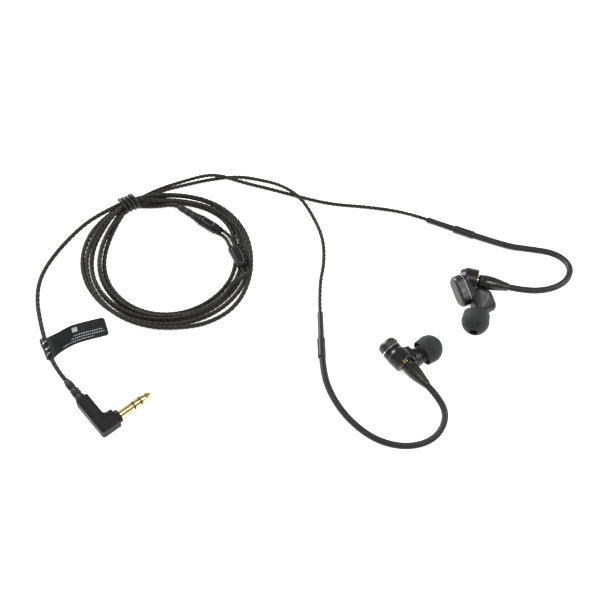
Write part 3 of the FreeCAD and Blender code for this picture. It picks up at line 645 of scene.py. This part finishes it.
# Each seat is the connector's axis: X out along the boot, Y to the side, Z up.
AXIS_HEIGHT = 9.3
NOZZLE_DROP = 3.95
EARPIECES = {
    "left": {"side": -1, "at": (12.6, 17.4), "yaw": -15, "nozzle_at": (1.9, 11.0), "splay": 3},
    "right": {"side": 1, "at": (-16.3, -18.6), "yaw": -49, "nozzle_at": (-1.1, 7.9), "splay": 5},
}
HOOK_ROUTES = {
    "left": [
        (29.5, 12.9, 9.3), (38.7, 13.5, 8.9), (46.2, 18.0, 7.6), (48.8, 25.8, 5.9),
        (43.6, 32.8, 4.2), (32.7, 35.8, 2.6), (24.2, 37.8, 1.55), (4.9, 45.7, 1.55),
    ],
    "right": [
        (-5.3, -31.3, 9.3), (-1.9, -39.6, 8.6), (-6.4, -47.8, 6.8), (-16.3, -50.4, 5.0),
        (-27.8, -46.8, 3.2), (-37.8, -37.7, 2.0), (-44.2, -27.2, 1.55), (-47.25, -16.4, 1.55),
        (-47.6, -3.3, 1.55),
    ],
}
HOOK_START = 8.1
HOOK_RADIUS = 0.00125
BOOT_PROFILE = [
    (0.0, 1.0), (0.0, 2.35), (0.7, 2.62), (1.0, 2.62), (1.05, 2.48), (1.3, 2.48), (1.35, 2.66),
    (3.0, 2.72), (4.8, 2.66), (6.4, 2.45), (8.0, 2.14), (9.6, 1.82), (10.9, 1.60), (11.3, 1.52),
    (11.3, 1.1),
]
# The left boot is pushed fully home, so its lip hides most of the socket.
LEFT_BOOT_LIP = [(-0.42, 1.3), (-0.42, 2.2)]
WIDE_SLEEVE_PROFILE = [
    (-8.3, 1.20), (-8.3, 1.42), (-8.0, 1.55), (-7.2, 1.57), (-4.0, 1.52), (-0.8, 1.57),
    (-0.2, 1.54), (0.0, 1.40), (0.0, 1.0),
]
NARROW_SLEEVE_PROFILE = [
    (0.02, 0.8), (0.02, 1.12), (0.5, 1.16), (3.8, 1.12), (7.4, 1.10), (10.6, 1.13),
    (11.1, 1.08), (11.3, 0.98), (11.3, 0.7),
]
# The ear tip: its back edge, where the dome begins, the rubber's thickness, the sound opening's
# rim, and the bore's sleeve round the nozzle.
TIP_BACK = 1.2
TIP_RADIUS = 5.33
TIP_CROWN = TIP_BACK + 3.2
TIP_WALL = 0.55
TIP_TUCK = 0.27
TIP_RIM_RADIUS = 2.15
TIP_BORE_RADIUS = 2.56
TIP_SLEEVE_RADIUS = 3.32
# Where the lobe's flat face is, along the seat, and how far in and wide the boot's room goes.
BOSS_FACE = -0.62
BOSS_REACH = 0.6
BOOT_ROOM = 3.0
BOOT_ROOM_EDGE = 0.2
# How the shell's open end is filled: the ring's outline, drawn in a little, from just past its
# middle to well inside the shell.
RING_SHARE = 0.985
FILL_FROM, FILL_TO = 0.12, 3.2
VOXEL = 0.00016
SOFTEN_ROUNDS = 18
# Balls that fill the hollows between the lobe, the shell and the chamber: place and radius.
FILLINGS = {
    "left": [(-2.6, 3.0, -1.6, 3.3), (-1.6, 4.4, -2.0, 3.2), (-0.4, 5.8, -2.4, 3.1)],
    "right": [(-3.8, 2.4, -1.4, 3.4), (-2.6, 4.0, -2.6, 3.4)],
}
# Balls wrapped together with the front chamber into one full, round-backed form.
SWELLS = {
    "left": [(-0.6, 5.4, -2.2, 3.0), (0.2, 4.7, -1.0, 2.2), (1.0, 7.0, -2.8, 3.0),
             (3.4, 5.4, -2.9, 2.8)],
    "right": [],
}


def seat_of(side):
    """The place of one side's connector, with its X axis out along the boot."""
    facts = EARPIECES[side]
    at = Vector((*facts["at"], AXIS_HEIGHT)) * MM
    return place_along(at, heading(math.radians(facts["yaw"])))


def fill_open_end(made, side):
    """Fill the shell's open end solid, up to the trim ring, in the ring's own outline."""
    ring, cover = (
        np.array([vertex.co for vertex in frame["nodes"][f"{side}_{node}"].data.vertices])
        for node in ("trim_ring", "outer_cover")
    )
    middle = (ring.min(axis=0) + ring.max(axis=0)) / 2
    stack = np.linalg.svd(ring - ring.mean(axis=0))[2][2]
    stack = stack * np.sign(np.dot(stack, middle - cover.mean(axis=0)))
    outline = middle + (ring - middle) * RING_SHARE
    outline = outline[np.dot(outline - middle, stack) > 0]
    corners = [made.verts.new(point + stack * reach * MM)
               for reach in (FILL_FROM, FILL_TO) for point in outline]
    bmesh.ops.convex_hull(made, input=corners)


def add_balls(made, side, balls):
    """Balls at places in one side's seat, mirrored for the left."""
    seat = seat_of(side)
    for x, y, z, radius in balls:
        spot = seat @ (Vector((x, EARPIECES[side]["side"] * y, z)) * MM)
        bmesh.ops.create_icosphere(made, subdivisions=4, radius=radius * MM,
                                   matrix=Matrix.Translation(spot))


def run_together(piece):
    """Remesh the piece's overlapping forms as one skin, and soften it."""
    remesh = piece.modifiers.new("grid", "REMESH")
    remesh.mode = "VOXEL"
    remesh.voxel_size = VOXEL
    remesh.use_smooth_shade = True
    soften = piece.modifiers.new("soften", "SMOOTH")
    soften.factor = 0.5
    soften.iterations = SOFTEN_ROUNDS
    bpy.context.view_layer.update()
    finished = bpy.data.meshes.new_from_object(
        piece.evaluated_get(bpy.context.evaluated_depsgraph_get()))
    piece.modifiers.clear()
    piece.data = finished


def clear_for_boot(mesh, seat):
    """Leave room for the boot, which turns about the seat's X axis, and flatten the lobe's end."""
    back = seat.inverted()
    for vertex in mesh.vertices:
        local = back @ vertex.co / MM
        reach = math.hypot(local.y, local.z)
        if local.x > BOSS_FACE and reach < BOOT_ROOM:
            if local.x < BOSS_REACH and reach < BOOT_ROOM - BOOT_ROOM_EDGE:
                local.x = BOSS_FACE
            else:
                local.y, local.z = (way * BOOT_ROOM / reach for way in (local.y, local.z))
            vertex.co = seat @ (local * MM)


def moulded_shell(side):
    """The shell and front chamber, run together and softened as one moulding."""
    made = bmesh.new()
    for node in ("main_shell", "front_chamber"):
        made.from_mesh(frame["nodes"][f"{side}_{node}"].data)
    fill_open_end(made, side)
    add_balls(made, side, FILLINGS[side])
    if SWELLS[side]:
        swell = bmesh.new()
        swell.from_mesh(frame["nodes"][f"{side}_front_chamber"].data)
        add_balls(swell, side, SWELLS[side])
        bmesh.ops.convex_hull(made, input=[made.verts.new(corner.co) for corner in swell.verts])
        swell.free()
    mesh = bpy.data.meshes.new(f"{side}_housing")
    made.to_mesh(mesh)
    made.free()
    piece = bpy.data.objects.new(f"{side}_housing", mesh)
    bpy.context.scene.collection.objects.link(piece)
    run_together(piece)
    clear_for_boot(piece.data, seat_of(side))
    piece.data.polygons.foreach_set("use_smooth", [True] * len(piece.data.polygons))
    dress(piece, "shell_dark", f"{side}_earpiece")
    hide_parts(f"{side}_main_shell", f"{side}_front_chamber")


def ear_tip(side):
    """A soft dome with a thin skirt, turned in at the sound opening."""
    facts = EARPIECES[side]
    splay = math.radians(facts["splay"])
    seat = seat_of(side)
    root = seat @ (Vector((facts["nozzle_at"][0], facts["side"] * facts["nozzle_at"][1],
                           -NOZZLE_DROP)) * MM)
    way = seat.to_3x3() @ Vector((math.sin(splay), facts["side"] * math.cos(splay), 0))
    skirt = [(TIP_BACK + 0.02, TIP_RADIUS - 0.42), (TIP_BACK + 0.12, TIP_RADIUS - 0.32)]
    skirt += [(TIP_BACK + 0.4 + 0.4 * step, TIP_RADIUS - TIP_TUCK * math.cos(step / 7 * 1.57))
              for step in range(7)]
    rim = math.asin(TIP_RIM_RADIUS / TIP_RADIUS)
    dome = [(TIP_CROWN + TIP_RADIUS * math.sin(turn), TIP_RADIUS * math.cos(turn))
            for turn in np.linspace(0.02, math.pi / 2 - rim, 22)]
    top = dome[-1][0]
    mouth = [(top + 0.10, 1.95), (top + 0.08, 1.72), (top - 0.18, 1.60), (top - 1.6, 1.58),
             (top - 2.2, 2.50)]
    sleeve = [(top - 2.25, TIP_BORE_RADIUS), (TIP_BACK + 0.1, TIP_BORE_RADIUS),
              (TIP_BACK, 2.7), (TIP_BACK, 3.2), (TIP_BACK + 0.15, TIP_SLEEVE_RADIUS),
              (TIP_CROWN + 1.6, TIP_SLEEVE_RADIUS)]
    hollow = TIP_RADIUS - TIP_WALL
    inside = [(TIP_CROWN + hollow * math.sin(turn), hollow * math.cos(turn))
              for turn in np.linspace(0.60, 0.0, 8)]
    inside += [(TIP_BACK + 0.4, TIP_RADIUS - TIP_TUCK - TIP_WALL),
               (TIP_BACK + 0.05, TIP_RADIUS - 0.8)]
    profile = skirt + dome + mouth + sleeve + inside
    piece = lathe_ring(f"{side}_tip", profile, place_along(root, way))
    dress(piece, "tip_rubber", f"{side}_ear_tip")
    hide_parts(f"{side}_ear_tip")


def lathe_ring(name, profile, place, around=72):
    """A turned piece whose profile closes on itself, so it is a ring round the axis."""
    vertices = turned(profile, place, around)
    faces = skin(len(profile) + 1, around, ends=False)
    faces = [tuple(corner % len(vertices) for corner in face) for face in faces]
    return crisp(smooth_mesh(name, vertices, faces), 60)


def cable_end(side):
    """The boot, the formed hook and the two sleeves of one side."""
    seat = seat_of(side)
    profile = LEFT_BOOT_LIP + BOOT_PROFILE[2:] if side == "left" else BOOT_PROFILE
    boot = lathe(f"{side}_boot", softened(profile, 0.07), seat)
    dress(boot, "boot_black")
    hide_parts(f"{side}_connector_boot")

    start = seat @ (Vector((HOOK_START, 0, 0)) * MM)
    route = [start] + metres(HOOK_ROUTES[side])
    line = line_of(route_curve(f"{side}_hook_route", route))
    hook = tube_mesh(f"{side}_hook", line, HOOK_RADIUS, 20)
    dress(hook, "hook_rubber")
    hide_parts(f"{side}_ear_hook")

    end = Vector(HOOK_ROUTES[side][-1])
    first, second = (Vector(point) for point in LEAD_ROUTES[side][:2])
    way = (second - first).normalized()
    place = place_along(end * MM, way)
    wide = lathe(f"{side}_sleeve_wide", softened(WIDE_SLEEVE_PROFILE, 0.08), place)
    dress(wide, "sleeve_black")
    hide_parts(f"{side}_wide_sleeve")
    narrow = lathe(f"{side}_sleeve_narrow", softened(NARROW_SLEEVE_PROFILE, 0.08), place)
    dress(narrow, "sleeve_black")
    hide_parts(f"{side}_narrow_sleeve")


# ---------------------------------------------------------------- tie, split, slider and tag

TIE_HEIGHT = 3.35
TIE_WRAPS = 3.6
TIE_PITCH = 1.75
TIE_WIRE_RADIUS = 0.00074
TIE_POINTS = 12
EDGE_TURN = 0.7


def tie_wraps():
    """A soft wire wound round the bundle."""
    at = Vector((TIE_AT.x, TIE_AT.y, TIE_HEIGHT)) * MM
    place = place_along(at, heading(TIE_YAW))
    points = []
    for index in range(int(TIE_WRAPS * TIE_POINTS) + 1):
        wrap = index / TIE_POINTS
        angle = 2 * math.pi * index / TIE_POINTS + 0.6
        across = 2.85 + 0.2 * math.sin(2.3 * angle)
        along = (wrap - TIE_WRAPS / 2) * TIE_PITCH + 0.35 * math.sin(angle * 0.9)
        points.append(place @ (Vector((along, across * math.cos(angle),
                                       2.72 * math.sin(angle))) * MM))
    line = line_of(route_curve("tie_route", points))
    wire = tube_mesh("tie_wire", line, TIE_WIRE_RADIUS, 14, 0.0003)
    dress(wire, "tie_black")
    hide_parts("cord_tie")


def highlight_outline(name, place, length, width, taper, height, radius=0.00016):
    """A thin raised rim round a flat panel, painted light grey as its edge highlight, in
    millimetres on the place's XY plane.
    """
    near, far = width / 2, width / 2 * taper
    corners = [(-length / 2, -near), (length / 2, -far), (length / 2, far), (-length / 2, near)]
    points = []
    for index, corner in enumerate(corners):
        for other in (corners[index - 1], corners[(index + 1) % 4]):
            gap = Vector(other) - Vector(corner)
            points.append(Vector(corner) + gap * min(0.45, EDGE_TURN / gap.length))
    join_at = points[-1].lerp(points[0], 0.5)
    loop = [join_at, *points, join_at]
    path = [place @ (Vector((spot.x, spot.y, height)) * MM) for spot in loop]
    line = line_of(route_curve(f"{name}_route", path))
    edge = tube_mesh(name, line, radius, 8, 0.0003)
    edge.data.materials.append(MATERIALS["painted_edge_highlight"])
    return edge


def moulded_body(name, blacks, edge, body):
    """Black mouldings and their rim with its painted edge highlight, joined as one piece that
    rides on a body.
    """
    for piece in blacks:
        piece.data.materials.append(MATERIALS["plug_black"])
    whole = join(name, [*blacks, edge])
    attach(whole, body)
    return whole


def split_pieces():
    """The Y-split's body, with its ribs, and its strain relief in three steps."""
    back = heading(SPLIT_YAW)
    end = place_along(SPLIT_END * MM, -back)
    body = lathe("split_body", softened([
        (0.0, 0.9), (0.0, 1.55), (0.25, 1.76), (1.4, 1.82), (1.45, 1.62), (1.8, 1.62),
        (1.85, 1.98), (2.3, 2.08), (9.4, 2.08), (10.0, 1.95), (10.05, 1.65), (10.4, 1.65),
        (10.45, 1.82), (11.3, 1.74), (11.5, 1.55), (11.5, 0.8),
    ], 0.08), end)
    panel = rounded_block("split_panel", end @ Matrix.Translation(Vector((5.8, 0, 1.72)) * MM),
                          (5.6, 2.4, 0.9), 0.3)
    shifted = end @ Matrix.Translation(Vector((5.8, 0, 0)) * MM)
    # The panel's rim, light grey: a painted edge highlight.
    edge = highlight_outline("split_edge_highlight", shifted, 5.2, 2.0, 1.0, 2.12)
    whole = moulded_body("split_housing", [body, panel], edge, "cable")
    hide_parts("y_split_body")
    steps, here = [(11.5, 0.8)], 11.5
    for radius in (1.58, 1.46, 1.34):
        steps += [(here, radius), (here + 2.2, radius - 0.06), (here + 2.25, radius - 0.28),
                  (here + 2.95, radius - 0.28)]
        here += 3.0
    relief = lathe("split_relief", softened(steps + [(here - 0.5, 0.8)], 0.06), end)
    dress(relief, "relief_rubber")
    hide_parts("y_split_relief")


def slider_piece():
    """A flat tapered slider with a raised bevelled outline, painted light grey as its edge
    highlight.
    """
    along = heading(SLIDER_YAW)
    middle = place_along((SLIDER_AT + along * 5.6) * MM, along)
    block = rounded_block("slider_core", middle, (9.9, 4.7, 3.3), 0.75, 0.86)
    plate = rounded_block("slider_plate", middle @ Matrix.Translation(Vector((0.2, 0, 1.35)) * MM),
                          (8.3, 3.3, 0.75), 0.3, 0.8)
    # The plate's rim, light grey: a painted edge highlight.
    edge = highlight_outline("slider_edge_highlight", middle, 7.9, 3.1, 0.82, 1.70)
    whole = moulded_body("slider_body", [block, plate], edge, "cable_slider")
    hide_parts("cable_slider")


# The flag's two long edges, from the cord outwards.
TAG_TOP = [
    (-153.2, -5.4, 1.9), (-151.1, -3.7, 3.0), (-147.6, -1.7, 2.6), (-143.5, 1.9, 1.6),
    (-139.6, 3.8, 0.9), (-135.0, 5.2, 0.6), (-130.4, 6.6, 0.5),
]
TAG_BOTTOM = [
    (-149.4, -14.2, 2.0), (-147.4, -11.9, 3.0), (-144.9, -9.0, 2.1), (-142.0, -6.1, 0.8),
    (-138.4, -4.2, 0.5), (-133.2, -2.6, 0.4), (-127.9, -1.1, 0.4),
]
TAG_STEPS = 40
TAG_ACROSS = 7
# Rows of plain bars that stand for print: place across the flag, and where each begins and ends.
TAG_ROWS = ((0.40, 0.50, 0.92), (0.26, 0.46, 0.96), (0.12, 0.30, 0.78))
TAG_SQUARE = (0.50, 0.58, 0.60, 0.84)
TAG_WRAP = Vector((-149.2, -12.4, 1.85))
TAG_WRAP_YAW = math.radians(113.4)
PLUG_CORNER = Vector((-127.4, -40.7, 3.0))
PLUG_YAW = math.radians(39 + 90)


def tag_pieces():
    """A printed film folded round the cord, its flag curling away, with painted highlights on its
    wrap.
    """
    top, bottom = (line_of(route_curve(name, metres(points)))
                   for name, points in (("tag_top", TAG_TOP), ("tag_bottom", TAG_BOTTOM)))
    top, bottom = (evenly(line, line_length(line) / TAG_STEPS)[0] for line in (top, bottom))

    def sheet(name, start, end, low, high, lift, slot, thickness=0.00014, corner=0.0):
        """A strip of the flag, from one share of its length and width to another."""
        columns = np.linspace(start, end, max(3, int((end - start) * 60)))
        vertices, faces = [], []
        for share in columns:
            spot = share * TAG_STEPS
            index = min(TAG_STEPS - 1, int(spot))
            part = spot - index
            high_edge = top[index] * (1 - part) + top[index + 1] * part
            low_edge = bottom[index] * (1 - part) + bottom[index + 1] * part
            near = 0.0
            if corner and end - share < corner:
                near = corner - math.sqrt(max(0.0, corner ** 2 - (corner - (end - share)) ** 2))
            for across in np.linspace(low + near * 2.2, high - near * 2.2, TAG_ACROSS):
                vertices.append(low_edge + (high_edge - low_edge) * across + (0, 0, lift))
        count, wide, rows = len(vertices), TAG_ACROSS, len(columns)
        vertices += [vertex - np.array((0, 0, thickness)) for vertex in vertices]
        for row in range(rows - 1):
            for column in range(wide - 1):
                first = row * wide + column
                top_face = (first, first + 1, first + wide + 1, first + wide)
                faces.append(top_face)
                faces.append(tuple(count + top_face[corner_at] for corner_at in (0, 3, 2, 1)))
        edge = list(range(wide)) + [row * wide + wide - 1 for row in range(1, rows)]
        edge += [(rows - 1) * wide + column for column in range(wide - 2, -1, -1)]
        edge += [row * wide for row in range(rows - 2, 0, -1)]
        for first, second in zip(edge, edge[1:] + edge[:1]):
            faces.append((second, first, count + first, count + second))
        strip = crisp(smooth_mesh(name, vertices, faces))
        strip.data.materials.append(MATERIALS[slot])
        return strip

    pieces = [sheet("flag", 0.02, 1.0, 0.0, 1.0, 0.0, "tag_film", corner=0.05)]
    marks = [TAG_SQUARE]
    for row, (low, first, last) in enumerate(TAG_ROWS):
        here = first
        while here < last:
            width = 0.022 + 0.014 * math.sin(here * 97 + row)
            marks.append((here, here + width, low, low + 0.045))
            here += width + 0.012
    for start, end, low, high in marks:
        pieces.append(sheet("print", start, end, low, high, 0.00005, "tag_print", 0.00004))
    seat = place_along(TAG_WRAP * MM, heading(TAG_WRAP_YAW))
    wrap = lathe("wrap", softened([(0.2, 1.0), (0.2, 1.30), (2.0, 1.38), (4.5, 1.24), (7.0, 1.42),
                                   (9.2, 1.30), (9.2, 1.0)], 0.1), seat, 40)
    wrap.data.materials.append(MATERIALS["tag_film"])
    pieces.append(wrap)
    # Three short light grey strokes across the wrap: painted highlights of its gloss.
    for start, turn in ((0.9, 0.5), (3.6, 1.3), (6.3, 0.9)):
        shine = []
        for step in range(9):
            angle = turn + step * 0.2
            shine.append(seat @ (Vector((start + step * 0.16, 1.33 * math.cos(angle),
                                         1.33 * math.sin(angle))) * MM))
        mark = tube_mesh("shine", np.array(shine), 0.00022, 8, 0.0002)
        mark.data.materials.append(MATERIALS["tag_clear"])
        pieces.append(mark)
    whole = join("tag_flag", pieces)
    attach(whole, "cable")
    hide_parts("cord_tag")


def plug_relief():
    """The plug's strain relief: three tapering segments with ribs between."""
    place = place_along(PLUG_CORNER * MM, heading(PLUG_YAW))
    steps, here = [(13.4, 0.9)], 13.4
    for radius, length in ((2.05, 3.3), (1.85, 3.6), (1.62, 3.9)):
        steps += [(here, radius), (here + length * 0.62, radius - 0.10),
                  (here + length * 0.66, radius - 0.42), (here + length * 0.94, radius - 0.42)]
        here += length
    relief = lathe("plug_relief", softened(steps + [(here - 0.2, 0.9)], 0.08), place)
    dress(relief, "relief_rubber")
    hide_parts("plug_strain_relief")


# ---------------------------------------------------------------- CAD nodes that stay

def dress_cad_nodes():
    """Give every CAD node the finish of its slot; the covers have a brushed one."""
    slots = {entry["node"]: entry["material_slot"] for entry in frame["record"]["subparts"]}
    for node, piece in frame["nodes"].items():
        finish = "cover_brushed" if node.endswith("outer_cover") else slots[node]
        for slot in piece.material_slots:
            slot.material = MATERIALS[finish]


bpy.context.scene.view_settings.view_transform = "Standard"
add_camera()
MATERIALS = make_materials()
slider_piece()
split_pieces()
tie_wraps()
tag_pieces()
plug_relief()
add_cords()
add_light_and_floor()
for side_name in ("left", "right"):
    moulded_shell(side_name)
    ear_tip(side_name)
    cable_end(side_name)
dress_cad_nodes()
